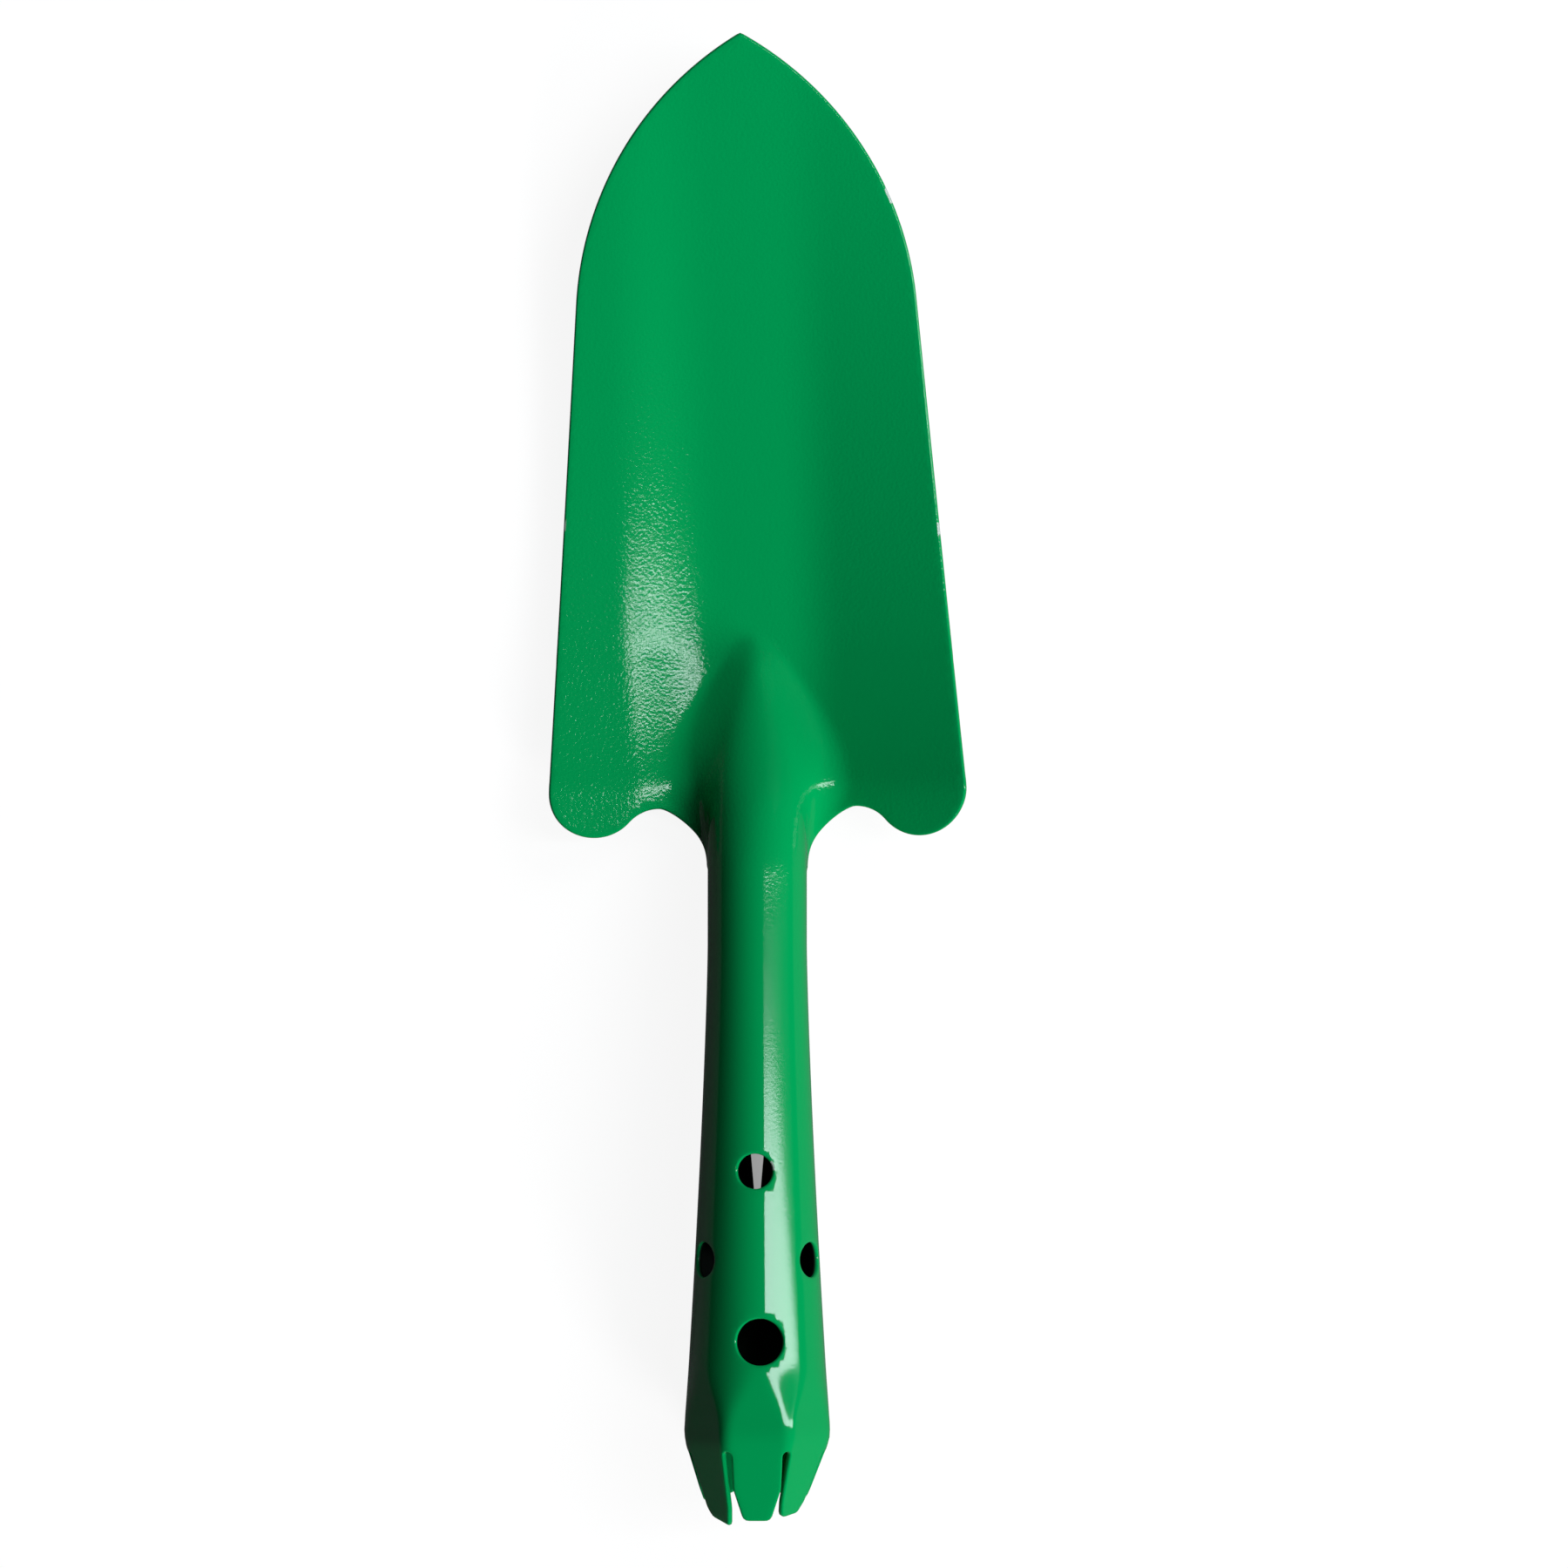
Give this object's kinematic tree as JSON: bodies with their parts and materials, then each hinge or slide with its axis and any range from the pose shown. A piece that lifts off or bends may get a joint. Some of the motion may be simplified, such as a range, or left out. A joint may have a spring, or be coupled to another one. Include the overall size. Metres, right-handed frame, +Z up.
{
  "type": "hand trowel",
  "caption": "One-piece pressed steel garden hand trowel with a dished pointed blade and a rolled hollow grip.",
  "frame": {"origin": "centre of the bounding box in X and Y, at the height of the ground that the trowel lies on", "axes": "+Y along the trowel towards the blade's tip, +X across the blade, +Z up out of the blade's hollow side"},
  "size_m": [0.0898, 0.3192, 0.0306],
  "materials": {
    "green_enamel": "gloss enamel with a fine orange-peel grain"
  },
  "bodies": {
    "root": {"trowel_body": "green_enamel"}
  },
  "joints": []
}
